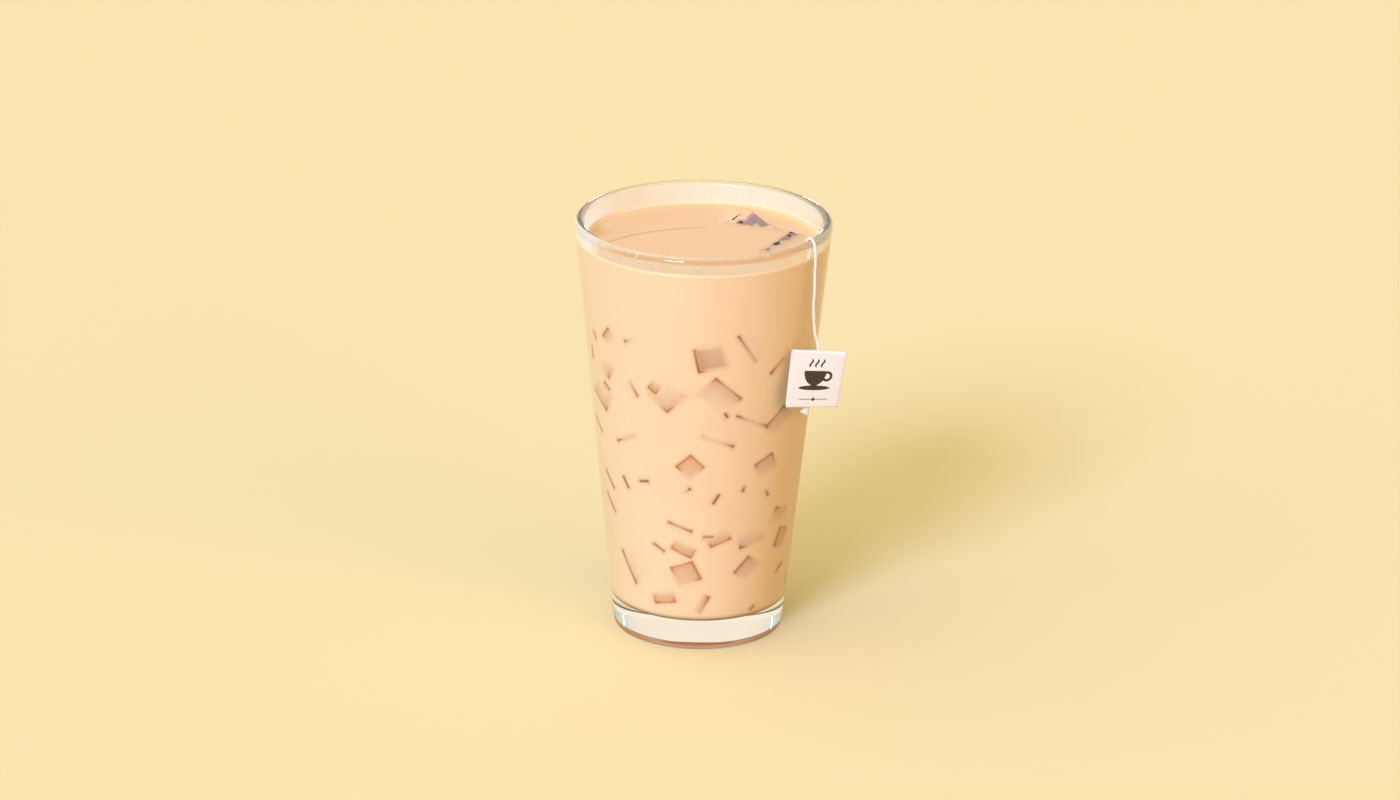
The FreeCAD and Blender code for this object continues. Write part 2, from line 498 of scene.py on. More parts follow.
filmLook = {
    "color": (0.99, 0.90, 0.79, 1), "coverFront": 0.18, "coverBack": 0.50, "coverSide": 0.90,
    "frontToBack": (-0.03, 0.012), "leftSide": (-0.022, -0.038), "leftBack": (-0.028, -0.014),
    "lampsHidden": 0.8, "glow": (1.0, 0.86, 0.84, 1), "glowLeft": 0.30,
}
iceLook = {
    "mauve": (0.36, 0.25, 0.215, 1), "milky": (0.86, 0.57, 0.35, 1), "spot": (0.05, 0.014, 0.004, 1),
    "clear": (0.93, 0.9, 0.88, 1),
}
# each from its darker to its paler shade
# the drops' pale colour is a painted highlight, standing in for their glints
dropGlintShades = ((0.93, 0.83, 0.72, 1), (1.0, 0.93, 0.86, 1))
cottonShades = ((0.88, 0.85, 0.80, 1), (0.98, 0.97, 0.95, 1))
cardShades = ((0.92, 0.925, 0.895, 1), (0.94, 0.945, 0.92, 1))
inkShades = ((0.030, 0.022, 0.016, 1), (0.060, 0.046, 0.035, 1))


def glassMaterial():
    mat, tree, where = newMaterial("clearGlass")
    g = glassLook
    axes = split(where)
    x, y, z = (axes[key] for key in "XYZ")
    top = glassSpec["height"]
    # painted reflection: the sides of the rim are tinted cool
    sides = remap(z, *(top - v for v in g["rimBand"])) * remap(abs(x), *g["rimSides"])
    # painted reflection of the tea: a thin warm band along the front of the rim
    front = remap(z, *(top - v for v in g["warmFrom"])) * remap(z, *(top - v for v in g["warmTo"]), 1, 0)
    front = front * remap(y, *g["rimFront"])
    tint = mixColor(front, mixColor(sides, g["tint"], g["rimCool"]), g["rimWarm"])
    glass = principled(tree, tint, 0.0, {"IOR": g["ior"], "Transmission Weight": 1.0})
    # a painted grey coat on the sides of the rim, a painted reflection of the pale room they show
    grey = principled(tree, g["rimGrey"], 0.08, {"IOR": g["ior"]})
    glass = mixShader(sides * remap(noise(where, 150, 3), 0.3, 0.7, *g["smear"]), glass, grey)
    # painted reflection: low in the heel the wall is painted with the underside of the tea instead of
    # showing the room
    heelTop = g["heelHeight"]
    low = remap(z, heelTop - g["heelSoft"], heelTop, 1, 0) * remap(z, *g["heelStart"])
    outside = 1.0 - put(tree, "ShaderNodeNewGeometry")["Backfacing"]
    edge = vecCalc("LENGTH", levelPart(axes)) > glassSpec["baseRadius"] - g["heelWidth"]
    stretched = put(tree, "ShaderNodeMapping", {"Vector": where, "Scale": (1, 1, 5)})[0]
    # painted darker stripes in the heel, and a painted darker line along its top
    darker = calc("MAXIMUM", remap(z, *(heelTop - v for v in g["heelLine"])),
                  remap(noise(stretched, 220, 3), 0.5, 0.75, 0, 0.6))
    heel = principled(tree, mixColor(darker, g["heelShade"], g["heelDark"]), 0.05, {"IOR": g["ior"]})
    glass = mixShader(low * outside * (edge * g["heelCover"]), glass, heel)
    # lamps light the tea straight through the wall, a little dimmed where the wall is seen edge on
    facing = put(tree, "ShaderNodeLayerWeight", {"Blend": 0.35})["Facing"]
    dimmed = mixColor(remap(facing, 0.45, 0.95), g["shadowClear"], g["shadowEdge"])
    return finished(mat, clearFor(tree, dimmed, glass))


def teaMaterial():
    mat, tree, where = newMaterial("milkTea")
    t = teaLook
    axes = split(where)
    x, y, z = (axes[key] for key in "XYZ")
    flat = levelPart(axes)
    radius = vecCalc("LENGTH", flat)
    color = mixColor(remap(noise(where, 45, 3), 0.3, 0.7), t["milk"], t["cream"])
    # ice behind a thin layer of tea, painted in with its shade, by how near the wall it comes
    tone = attribute(tree, "iceTone")
    ice = mixColor(tone, t["icePale"], t["iceOrange"])
    ice = mixColor(remap(tone, 1.0, 2.0), ice, t["iceDeep"])
    # painted shade along the edges where the ice meets the wall
    line = mixColor(tone, t["iceBrown"], t["iceRust"])
    line = mixColor(remap(tone, 1.0, 1.4), line, t["iceBrown"])
    for layer, shade in (("iceShows", ice), ("iceHalo", mixColor(tone, t["haloPale"], t["haloWarm"])),
                         ("iceWarm", t["iceOrange"]), ("iceEdge", line)):
        color = mixColor(attribute(tree, layer), color, shade)
    floor = glassSpec["floor"]
    color = mixColor(remap(z, *(floor + v for v in t["bottomBand"]), 1, 0), color, t["bottom"])
    # the open surface is a little deeper, and thin tea against the wall is yellower
    level = teaSpec["level"]
    inner = innerRadius(level)
    onTop = remap(z, *(level - v for v in t["topBand"])) * remap(radius, *(inner - v for v in t["wallBand"]))
    ring = remap(radius, inner - t["ringWidth"] * 1.4, inner - t["ringWidth"] * 0.5)
    surface = mixColor(ring, t["surface"], t["ring"])
    # a darker, warmer patch on the surface by the left wall
    toLeftPatch = vecCalc("DISTANCE", flat, t["stainPlace"])
    stain = remap(toLeftPatch, t["stainSize"] * 0.2, t["stainSize"], 1, 0) * t["stainCover"]
    surface = mixColor(stain, surface, t["stain"])
    # where the surface climbs the wall at the back, the film goes on in it
    veil = remap(z, *(level + v for v in t["veilBand"])) * remap(y, *t["veilBack"])
    veil = veil * remap(x, *t["veilLeft"], 1, 0)
    surface = mixColor(veil, surface, t["veil"])
    # ice seen through the thin tea over it, in its painted dark shade
    surface = mixColor(attribute(tree, "overBlock") * t["overBlock"], surface, iceLook["mauve"])
    # painted shadow of the rim, in an arc across the surface
    off = abs(vecCalc("DISTANCE", flat, t["arcCentre"]) - t["arcRadius"])
    span = remap(x, t["arcStart"], t["arcStart"] + 0.003) * remap(x, t["arcEnd"] - 0.012, t["arcEnd"], 1, 0)
    arc = remap(off, 0.0001, t["arcWidth"], 1, 0) * span * (y > t["arcFront"])
    surface = mixColor(arc * t["arcCover"], surface, t["streak"])
    return finished(mat, principled(tree, mixColor(onTop, color, surface), 0.10, {"IOR": 1.34}))


def filmMaterial():
    mat, tree, where = newMaterial("milkFilm")
    f = filmLook
    axes = split(where)
    stretched = put(tree, "ShaderNodeMapping", {"Vector": where, "Scale": (1, 1, 0.35)})[0]
    runs = remap(noise(stretched, 120, 4, 0.6), 0.25, 0.75, 0.92, 1.08)
    layer = remap(axes["Y"], *f["frontToBack"], f["coverFront"], f["coverBack"])
    # thickest on the left, where it also gives off painted light
    left = remap(axes["X"], *f["leftSide"]) * remap(axes["Y"], *f["leftBack"])
    layer = calc("MAXIMUM", layer, left * f["coverSide"])
    cover = layer * runs * (1.0 - eitherRay(tree, "Shadow", "Diffuse") * f["lampsHidden"])
    front = principled(tree, f["color"], 0.25, {})
    through = put(tree, "ShaderNodeBsdfTranslucent", {"Color": f["color"]})[0]
    film = mixShader(left * 0.5 + 0.35, front, through)
    # painted light: the film gives off light on the left, standing in for light caught in a thicker film,
    # which a thin shell has no depth for
    glow = put(tree, "ShaderNodeEmission", {"Color": f["glow"], "Strength": left * f["glowLeft"]})[0]
    film = put(tree, "ShaderNodeAddShader", {0: film, 1: glow})[0]
    return finished(mat, mixShader(cover, put(tree, "ShaderNodeBsdfTransparent")[0], film))


def iceMaterial():
    # clear ice, coated with tea low down; where bare it is painted in a dark shade, with specks of painted
    # shade along its edges
    mat, tree, where = newMaterial("clearIce")
    bare = (noise(where, 260, 3, 0.55) - 0.5) * 0.5 + attribute(tree, "bare")
    color = mixColor(remap(bare, 0.08, 0.55), iceLook["milky"], iceLook["mauve"])
    spots = (noise(where, 900, 3) - 0.5) * 0.6 + attribute(tree, "shadeSpecks")
    color = mixColor(remap(spots, 0.22, 0.42), color, iceLook["spot"])
    ice = principled(tree, color, 0.07, {"IOR": 1.31, "Transmission Weight": 0.15,
                                         "Normal": bump(noise(where, 260, 3), 0.35, 0.0006)})
    return finished(mat, clearFor(tree, iceLook["clear"], ice))


def dropMaterial():
    mat, tree, where = newMaterial("paleGlintDrops")
    color = mixColor(noise(where, 900, 2), *dropGlintShades)
    return finished(mat, principled(tree, color, 0.05, {"IOR": 1.33, "Transmission Weight": 0.2}))


def cottonMaterial():
    mat, tree, where = newMaterial("cottonThread")
    fuzz = noise(where, 2600, 3)
    cotton = {"Sheen Weight": 0.3, "Normal": bump(fuzz, 0.5, 0.0001)}
    return finished(mat, principled(tree, mixColor(fuzz, *cottonShades), 0.9, cotton))


def cardMaterial():
    mat, tree, where = newMaterial("printedCard")
    fibre = noise(where, 1400, 4, 0.6)
    card = mixColor(remap(noise(where, 120, 2), 0.3, 0.7), *cardShades)
    # the print: ink inside its outline, mottled by the fibres
    ink = mixColor(remap(fibre, 0.35, 0.75), *inkShades)
    inside = remap(attribute(tree, "inkOutline"), -0.05, 0.05, 1, 0)
    return finished(mat, principled(tree, mixColor(inside, card, ink), 0.75 - inside * 0.2,
                                    {"Normal": bump(fibre, 0.25, 0.00008)}))


# glass

glassSpec = {
    "height": 0.1492, "rimRadius": 0.0448, "baseRadius": 0.0295, "rimWall": 0.0036, "floorWall": 0.0042,
    "floor": 0.0104, "heel": 0.0016, "innerCorner": 0.003, "pushUpRadius": 0.021, "pushUpHeight": 0.0003,
    "arcSteps": 14, "domeSteps": 12, "row": 0.008, "columns": 256,
}


def outerRadius(z):
    low, high = glassSpec["baseRadius"], glassSpec["rimRadius"]
    return low + (high - low) * z / glassSpec["height"]


floorRadius = outerRadius(glassSpec["floor"]) - glassSpec["floorWall"]
mouthRadius = glassSpec["rimRadius"] - glassSpec["rimWall"]
wallSlope = (mouthRadius - floorRadius) / (glassSpec["height"] - glassSpec["floor"])


def innerRadius(z):
    return floorRadius + wallSlope * (z - glassSpec["floor"])


def rimCentre():
    # radius of the rim's round section, and its centre's radius and height
    g = glassSpec
    outerLean = math.atan((g["rimRadius"] - g["baseRadius"]) / g["height"])
    innerLean = math.atan(wallSlope)
    outward = 1 / math.tan((math.pi / 2 - outerLean) / 2)
    inward = 1 / math.tan((math.pi / 2 + innerLean) / 2)
    section = g["rimWall"] / (outward + inward)
    return section, g["rimRadius"] - section * outward, g["height"] - section


def buildGlass():
    g = glassSpec
    rim = rimCentre()[0]
    corners = [
        (g["baseRadius"], 0, g["heel"]),
        (g["rimRadius"], g["height"], rim),
        (mouthRadius, g["height"], rim),
        (floorRadius, g["floor"], g["innerCorner"]),
        (0, g["floor"], 0),
        (0, 0, 0),
    ]
    outline = roundedOutline(corners, g["arcSteps"])
    # the foot is hollowed by a shallow dome
    dome = (g["pushUpRadius"] ** 2 + g["pushUpHeight"] ** 2) / (2 * g["pushUpHeight"])
    under = []
    for k in range(g["domeSteps"] + 1):
        r = g["pushUpRadius"] * k / g["domeSteps"]
        under.append(Vector((r, g["pushUpHeight"] - dome + math.sqrt(dome * dome - r * r))))
    outline = divided(under + outline[:-1], g["row"])
    # without places that come twice
    clean = [outline[0]]
    for p in outline[1:]:
        if (p - clean[-1]).length > 1e-6:
            clean.append(p)
    obj = lathe("pintGlass", clean, g["columns"])
    obj.data.materials.append(glassMaterial())
    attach(obj, "root")
    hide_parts("tumbler")
    print("glass done", len(obj.data.polygons), "faces")


# ice sunk against the wall

# blocks by the edge that touches the wall: bearing, height (mm), turn of the edge, its length, how far
# the block's face runs from it (mm), how much the face leans away and the edge tips in, orange tone of the
# painted shade
iceTouches = [
    (-84, 107.5, -168, 9.5, 8.5, 3, -3, 1.9), (-66.5, 114.5, 123, 12, 9, 40, -1.5, 0.1),
    (-47.5, 106, 41, 6.5, 1.0, 14, 3, 1.5), (-75.5, 100, -43, 12, 9, 14, 0, 0.3),
    (-76, 90, -59, 1.4, 5, 40, 0, 0.1), (-60.5, 86.5, 153, 12.5, 7, 40, 0, 0.1),
    (-45, 86.5, 40, 9.5, 6, 13, 0, 0.2), (-103.5, 94, -133, 9, 9, 12, -3, 0.6),
    (-117, 98, 145, 3, 3, 10, 0, 1), (-129.5, 115, 19, 4, 5, 40, 14, 0.1),
    (-147, 115, 50, 4.5, 4, 18, 0, 0.7), (-158.5, 111.5, 117, 2.6, 4, 45, 0, 1),
    (-164.5, 104, 90, 4, 5, 50, 0, 0), (-145.5, 100, -119, 5, 5, 18, -6, 0.7),
    (-150, 94.5, -35, 3, 4, 22, 0, 0.9), (-159.5, 87, 148, 9, 8, 12, 0, 0.5),
    (-165.5, 77, 138, 6, 6, 50, 0, 0.1), (-137, 77, 27, 9, 6, 42, 3, 0.1),
    (-128.5, 97, 121, 5, 6, 50, 4, 0.9), (-80, 80, 157, 11, 7, 40, 2.5, 0.1),
    (-99.5, 72.5, 44, 6.5, 6, 6, 0, 0.95), (-50.5, 71, 25, 7, 6, 9, 0, 0.2),
    (-156.5, 58, 130, 7, 8, 45, 0, 0), (-139.5, 60, -60, 4, 6, 45, 0, 0.1),
    (-125, 62.5, -167, 3, 5, 45, 0, 0.1), (-158, 49, -51, 7, 6, 50, 0, 0.2),
    (-98, 61, -142, 3, 5, 45, 18, 0), (-80, 58, 62, 3.5, 6, 50, 0, 0.1),
    (-63, 61, 71, 1.5, 5, 45, 8, 0.1), (-45.5, 57.5, 117, 2, 6, 45, 8, 0),
    (-29.5, 49, -21, 7, 6, 15, 4, 0.3), (-31, 38.5, 69, 6.5, 5, 8, 0, 0.7),
    (-102, 47, 159, 8, 6, 55, 0, 0.5), (-76, 41, -158, 7, 5, 15, 0, 0.8),
    (-84, 43.5, 0, 3, 4, 40, 0, 0.8), (-53.5, 39, -168, 9, 6, 15, -3, 0),
    (-116.5, 38, 146, 4, 5, 50, 0, 0.6), (-101.5, 37, 154, 7, 3, 8, 0, 1),
    (-143, 27, -62, 12, 6, 55, 0, 0.3), (-91.5, 30.5, -66, 7, 7.5, 9, 0, 0.8),
    (-60.5, 31.5, 48, 7, 5.5, 13, 0, 0.3), (-23.5, 25.5, 34, 4, 5, 50, 0, 0.3),
    (-113.5, 17, -167, 7, 3, 8, 0, 1), (-85.5, 17, -116, 6.5, 1.3, 12, 3, 1.4),
    (-49, 13.5, 36, 1.5, 4, 50, 0, 0.3),
]
iceSpec = {
    "depth": 9.0, "clear": 0.02, "seed": 7,
    # the far side: how many, and the ranges of what the list above gives for each
    "farSide": 40, "farBearing": (-12, 186), "farHeight": (14, 118), "farTurn": (-180, 180),
    "farLength": (3, 11), "farWidth": (5, 10), "farLean": (2, 5, 8, 20, 30, 36), "farTip": (-4, 6),
    "farTone": (0, 0.1, 0.3, 0.9),
}


def wallFrame(bearing, height):
    # a point on the inner wall with the directions right, up and out of the glass there
    angle, lean = math.radians(bearing), math.atan(wallSlope)
    radius = innerRadius(height)
    point = Vector((radius * math.cos(angle), radius * math.sin(angle), height))
    out = Vector((math.cos(angle) * math.cos(lean), math.sin(angle) * math.cos(lean), -math.sin(lean)))
    right = Vector((0, 0, 1)).cross(out).normalized()
    return point, right, out.cross(right), out


def blockPlace(bearing, height, turn, length, width, lean, tip):
    # centre, axes and size of a block whose top edge touches the wall at this place
    point, right, up, out = wallFrame(bearing, height * mm)
    spin, lean, tip = math.radians(turn), math.radians(lean), math.radians(tip)
    along = right * math.cos(spin) + up * math.sin(spin)
    across = up * math.cos(spin) - right * math.sin(spin)
    x = (along * math.cos(tip) - out * math.sin(tip)).normalized()
    y = (-across * math.cos(lean) - out * math.sin(lean)).normalized()
    z = x.cross(y).normalized()
    y = z.cross(x)
    size = Vector((length, width, iceSpec["depth"])) * mm
    axes = Matrix((x, y, z)).transposed()
    inward = 1 if z.dot(out) < 0 else -1
    corner = [axes @ Vector((size.x * (i - 0.5), size.y * j, size.z * k * inward))
              for i in (0, 1) for j in (0, 1) for k in (0, 1)]
    # the corner that reaches furthest out just touches the wall
    excess = max((Vector((point + c).xy).length - innerRadius((point + c).z)) for c in corner)
    point = point - out * (excess + iceSpec["clear"] * mm)
    centre = point + axes @ Vector((0, size.y / 2, size.z / 2 * inward))
    return centre, axes.to_euler(), size


def buildSunkIce():
    s = iceSpec
    rng = random.Random(s["seed"])
    blocks = list(iceTouches)
    # the far side is filled in the same way
    lowest, highest = s["farHeight"]
    for i in range(s["farSide"]):
        bearing = rng.uniform(*s["farBearing"])
        height = lowest + (highest - lowest) * (i + rng.random()) / s["farSide"]
        blocks.append((bearing, height, rng.uniform(*s["farTurn"]), rng.uniform(*s["farLength"]),
                       rng.uniform(*s["farWidth"]), rng.choice(s["farLean"]), rng.uniform(*s["farTip"]),
                       rng.choice(s["farTone"])))
    rows = [(*blockPlace(*block[:7]), block[7]) for block in blocks]
    obj = scattered("sunkIce", rows, iceMaterial(), "GeometryNodeMeshCube", {"Size": (1, 1, 1)})
    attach(obj, "root")
    print("sunk ice done", len(rows), "blocks")
    return obj


# floating ice

# corner beside the wall (x, y), above the tea, size, turn; the same blocks as in the frame
floatSpec = {
    "bearing": 35.0, "reach": 20.0, "round": 1.1, "cell": 0.5, "melt": 0.2, "hollow": 0.7,
    "waves": (700, 430, 610, 350),
    "iceBlockBack": {"node": "ice_cube_back", "from": (-15.9, 2.8), "above": 4.3,
                     "size": (23.0, 19.5, 19.0), "turn": (-145.5, 21.3, -13.7),
                     # where bare ice shows in painted shade, a little hollow, and specks of painted shade:
                     # x, y, z, radius
                     "bare": ((18.0, 18.6, 143.2, 4.6), (15.5, 16.6, 142.1, 3.0), (21.0, 16.2, 142.8, 3.6),
                              (12.9, 17.6, 142.0, 2.4)),
                     "shadeSpecks": ((11.3, 21.0, 143.1, 0.9), (10.3, 20.1, 142.6, 0.9), (12.3, 21.7, 143.6, 0.6),
                               (12.9, 18.0, 142.1, 1.0))},
    "iceBlockSide": {"node": "ice_cube_side", "from": (-1.3, -11.6), "above": 1.2,
                     "size": (24.5, 9.0, 18.0), "turn": (-116.0, 1.5, -15.0),
                     "bare": ((29.2, 6.6, 141.9, 7.0), (26.4, 0.6, 141.6, 7.0), (23.4, -5.6, 141.4, 7.0)),
                     "shadeSpecks": ((30.5, 9.3, 141.9, 2.2), (29.3, 6.2, 141.8, 1.7), (26.3, -0.8, 141.5, 2.2),
                               (25.2, -2.8, 141.4, 1.7), (23.4, -6.8, 141.3, 2.0),
                               (22.4, -8.6, 141.2, 1.0))},
}
floatingNames = ("iceBlockBack", "iceBlockSide")


def floatingBlock(name, spec, shrink=0.0):
    # a block with rounded, slightly melted edges, and how near an edge each point is
    yaw, pitch, roll = (math.radians(v) for v in spec["turn"])
    turn = Matrix.Rotation(yaw, 4, "Z") @ Matrix.Rotation(pitch, 4, "Y") @ Matrix.Rotation(roll, 4, "X")
    bearing = math.radians(floatSpec["bearing"])
    wall = innerRadius(teaSpec["level"] - floatSpec["reach"] * mm)
    corner = Vector((wall * math.cos(bearing) + spec["from"][0] * mm,
                     wall * math.sin(bearing) + spec["from"][1] * mm, teaSpec["level"] + spec["above"] * mm))
    size = Vector(spec["size"]) * mm
    half = size / 2
    rounding = floatSpec["round"] * mm
    cells = [max(4, round(v / (floatSpec["cell"] * mm))) for v in size]
    index, points, faces, marks = {}, [], [], {"bare": [], "shadeSpecks": []}
    w = floatSpec["waves"]

    def vertex(i, j, k):
        if (i, j, k) in index:
            return index[i, j, k]
        p = Vector([(n / c - 0.5) * v for n, c, v in zip((i, j, k), cells, size)])
        core = Vector([max(-h + rounding, min(h - rounding, v)) for h, v in zip(half, p)])
        out = (p - core).normalized()
        depths = sorted(h - abs(v) for h, v in zip(half, p))
        wobble = math.sin(p.x * w[0] + p.y * w[1]) * math.cos(p.z * w[2] - p.x * w[3])
        near = math.exp(-depths[1] / rounding)
        p = core + out * (rounding - shrink - floatSpec["melt"] * mm * near * (0.5 + 0.5 * wobble))
        place = corner + turn.to_3x3() @ (p + Vector((half.x, half.y, -half.z)))
        for label, values in marks.items():
            near = [1 - (place - Vector(m[:3]) * mm).length / (m[3] * mm) for m in spec[label]]
            values.append(max(0, *near))
        dip = floatSpec["hollow"] * mm * marks["bare"][-1] ** 2
        index[i, j, k] = len(points)
        points.append(place - turn.to_3x3() @ out * dip)
        return index[i, j, k]

    for axis in range(3):
        u, v = (axis + 1) % 3, (axis + 2) % 3
        for side in (0, cells[axis]):
            for m in range(cells[u]):
                for n in range(cells[v]):
                    quad = []
                    for dm, dn in ((0, 0), (1, 0), (1, 1), (0, 1)):
                        place = [0, 0, 0]
                        place[axis], place[u], place[v] = side, m + dm, n + dn
                        quad.append(vertex(*place))
                    faces.append(quad)
    obj = newObject(name, meshFrom(name, points, faces))
    for label, values in marks.items():
        obj.data.attributes.new(label, "FLOAT", "POINT").data.foreach_set("value", values)
    return obj


def buildFloatingIce():
    for name in floatingNames:
        obj = floatingBlock(name, floatSpec[name])
        obj.data.materials.append(bpy.data.materials["clearIce"])
        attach(obj, "root")
        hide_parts(floatSpec[name]["node"])
    print("floating ice done")


# milk tea

teaSpec = {
    "level": 0.1412, "rise": 0.0016, "climb": 0.0026, "intoWall": 0.00015,
    "columns": 186, "row": 0.0012, "topRow": 0.0025, "arcSteps": 8,
    # round the floating blocks: finer mesh, how far the surface climbs them, and the room left for them
    "nearFloat": 0.006, "backRise": 0.0005, "sideRise": -0.0003, "blockClimb": 0.0010, "room": 0.00008,
    "overBlock": 0.0005, "overBlockDeep": 0.0006, "flatEdge": 0.00005,
    # over the sunk ice: finer mesh, how thick tea hides it, and the widths of its line and shades
    "nearIce": 0.0018, "nearEdge": 0.00085, "film": 0.0011, "close": 0.00025, "soften": 0.0006,
    "edge": 0.00056, "warm": 0.0012, "halo": 0.0014, "sight": 0.006,
    "outside": 0.001, "onCone": 0.00003, "onWall": 0.0001, "fade": (0.3, 1.3),
    "patches": 160.0, "patchRange": (0.38, 0.52, 0.8, 1.0),
    "showShare": 0.92, "warmShare": 0.65, "haloShare": 0.45, "edgeShare": 0.98,
}


def teaOutline():
    t = teaSpec
    top, floor = t["level"] + t["rise"], glassSpec["floor"] - t["intoWall"]
    inner = innerRadius(top)
    corners = [(0, floor, 0), (floorRadius + t["intoWall"], floor, glassSpec["innerCorner"]),
               (inner + t["intoWall"], top, 0), (0, top, 0)]
    outline = divided(roundedOutline(corners, t["arcSteps"])[:-1], t["row"])
    # the surface climbs the wall in a hollow curve
    hollow = (t["climb"] ** 2 + t["rise"] ** 2) / (2 * t["rise"])
    sweep = math.atan2(t["climb"], hollow - t["rise"])
    for k in range(t["arcSteps"], -1, -1):
        a = sweep * k / t["arcSteps"]
        radius = inner - t["climb"] + hollow * math.sin(a)
        outline.append(Vector((radius, t["level"] + hollow * (1 - math.cos(a)))))
    return outline + divided([outline[-1], Vector((0, t["level"]))], t["topRow"])[1:]


def climbBlocks(obj, rooms, material):
    # a finer surface where the tea meets the floating blocks, drawn up or down along them
    t = teaSpec
    values = {"First Block": rooms[0], "Second Block": rooms[1], "Near": t["nearFloat"], "Level": t["level"],
              "First Rise": t["backRise"], "Second Rise": t["sideRise"], "Climb": t["blockClimb"],
              "Material": material}
    tree, inputs = shapeTree("teaRoundBlocks", values)
    place = put(tree, "GeometryNodeInputPosition")[0]
    first, second = (distanceTo(shapeOf(inputs[label]), place, "FACES")
                     for label in ("First Block", "Second Block"))
    flatTop = split(place)["Z"] > inputs["Level"] - t["flatEdge"]
    near = calc("MINIMUM", first, second)
    # halved twice within reach of a block, and once more in the inner half of that reach
    shape = finer(inputs["Geometry"], [((near < inputs["Near"] * (0.5 * level)) * flatTop, level)
                                       for level in (2, 1)])
    lifts = [calc("EXPONENT", reach / inputs["Climb"] * -1.0) * inputs[label]
             for reach, label in ((first, "First Rise"), (second, "Second Rise"))]
    lift = put(tree, "ShaderNodeCombineXYZ", {"Z": calc("MAXIMUM", *lifts) * flatTop})[0]
    endTree(put(tree, "GeometryNodeSetPosition", {"Geometry": shape, "Offset": lift})[0], inputs["Material"])
    useTree(obj, tree, values)


def markIce(obj, ice, rooms, material):
    # marks each point of the tea by how much ice shows there, with the painted shade along its edges
    t = teaSpec
    values = {
        "Ice": ice, "First Block": rooms[0], "Second Block": rooms[1], "Level": t["level"],
        "Over Block": t["overBlock"], "Near Ice": t["nearIce"], "Near Edge": t["nearEdge"],
        "Wall At Zero": innerRadius(0) + t["intoWall"], "Wall Slope": wallSlope, "Film": t["film"],
        "Edge": t["edge"], "Warm": t["warm"], "Halo": t["halo"], "Soften": t["soften"], "Close": t["close"],
        "Sight": t["sight"], "Material": material}
    tree, inputs = shapeTree("teaOverIce", values)
    place = put(tree, "GeometryNodeInputPosition")[0]
    sunk = shapeOf(inputs["Ice"])
    toEdge = distanceTo(sunk, place, "EDGES")
    shape = finer(inputs["Geometry"], [(toEdge < inputs["Near Ice"], 1), (toEdge < inputs["Near Edge"], 1)])
    # new points on the wall go out to its true cone
    axes = split(place)
    flat = levelPart(axes)
    radius = vecCalc("LENGTH", flat)
    wall = axes["Z"] * inputs["Wall Slope"] + inputs["Wall At Zero"]
    fromWall = abs(radius - wall)
    moved = put(tree, "GeometryNodeSetPosition", {
        "Geometry": shape, "Selection": fromWall < t["onCone"],
        "Offset": scaled(flat, (wall - radius) / radius)})[0]
    # how much tea lies between the wall and the ice, looking inwards from just outside
    outward = scaled(flat, 1.0 / radius)
    ray = put(tree, "GeometryNodeRaycast", {
        "Target Geometry": sunk, "Source Position": vecCalc("ADD", place, scaled(outward, t["outside"])),
        "Ray Direction": scaled(outward, -1.0), "Ray Length": inputs["Sight"],
        "Attribute": put(tree, "GeometryNodeInputNamedAttribute", {"Name": "tone"})[0]})
    gap = calc("MAXIMUM", ray["Hit Distance"] - (t["outside"] + t["intoWall"]), 0.0)
    onWall = fromWall < t["onWall"]
    hit = ray["Is Hit"] * onWall

    def dying(distance, label):
        return calc("EXPONENT", distance / (inputs[label] * -1.0))

    def fading(label):
        return remap(toEdge / inputs[label], *t["fade"], 1.0, 0.0) * onWall

    # where a block's far sides end deeper in the tea, they fade out softly
    soft = remap(toEdge - gap, 0.0, inputs["Soften"])
    shows = dying(gap, "Film") * hit * calc("MAXIMUM", soft, dying(gap, "Close"))
    # some stretches of an edge's painted shade are stronger than others
    strength = remap(noise(place, t["patches"], 1.0), *t["patchRange"], "LINEAR")
    toBlock = calc("MINIMUM", *(distanceTo(shapeOf(inputs[label]), place, "FACES")
                                for label in ("First Block", "Second Block")))
    layers = {
        "overBlock": dying(toBlock, "Over Block") * (axes["Z"] > inputs["Level"] - t["overBlockDeep"]),
        "iceShows": shows * t["showShare"],
        "iceWarm": fading("Warm") * shows * t["warmShare"],
        "iceHalo": fading("Halo") * t["haloShare"],
        "iceEdge": fading("Edge") * strength * t["edgeShare"],
        "iceTone": ray["Attribute"] * hit,
    }
    shape = smoothed(moved)
    for name, value in layers.items():
        layer = {"Geometry": shape, "Name": name, "Value": value}
        shape = put(tree, "GeometryNodeStoreNamedAttribute", layer, data_type="FLOAT", domain="POINT")[0]
    endTree(shape, inputs["Material"])
    useTree(obj, tree, values)


def buildTea(sunkIce):
    obj = lathe("milkTea", teaOutline(), teaSpec["columns"])
    # room for the floating blocks, drawn in so that no gap shows
    rooms = [floatingBlock(name + "Room", floatSpec[name], teaSpec["room"]) for name in floatingNames]
    material = teaMaterial()
    climbBlocks(obj, rooms, material)
    for room in rooms:
        mod = obj.modifiers.new("room", "BOOLEAN")
        mod.operation = "DIFFERENCE"
        mod.solver = "EXACT"
        mod.object = room
        baked(obj)
    markIce(obj, sunkIce, rooms, material)
    for room in rooms:
        bpy.data.objects.remove(room)
    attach(obj, "root")
    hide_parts("milk_tea")
    print("tea done", sum(len(p.vertices) - 2 for p in obj.data.polygons), "triangles")


# milk left on the glass above the tea

filmSpec = {
    "low": 0.0008, "depth": 0.00005, "turnOver": 30.0, "wallSteps": 6, "rimSteps": 10, "columns": 192,
}
dropSpec = {
    "seed": 5, "count": 15, "from": -130, "to": -92, "low": 0.1449, "high": 0.1474,
    "size": (0.00020, 0.00040), "stretch": (0.9, 1.3), "flat": 0.7, "sunk": 0.25,
    "bubble": (-79.5, 43.8), "bubbleRadius": 0.00062, "bubbleRing": 0.00013, "bubbleOut": 0.00004,
    "bubbleSides": 10, "bubbleSteps": 32,
}


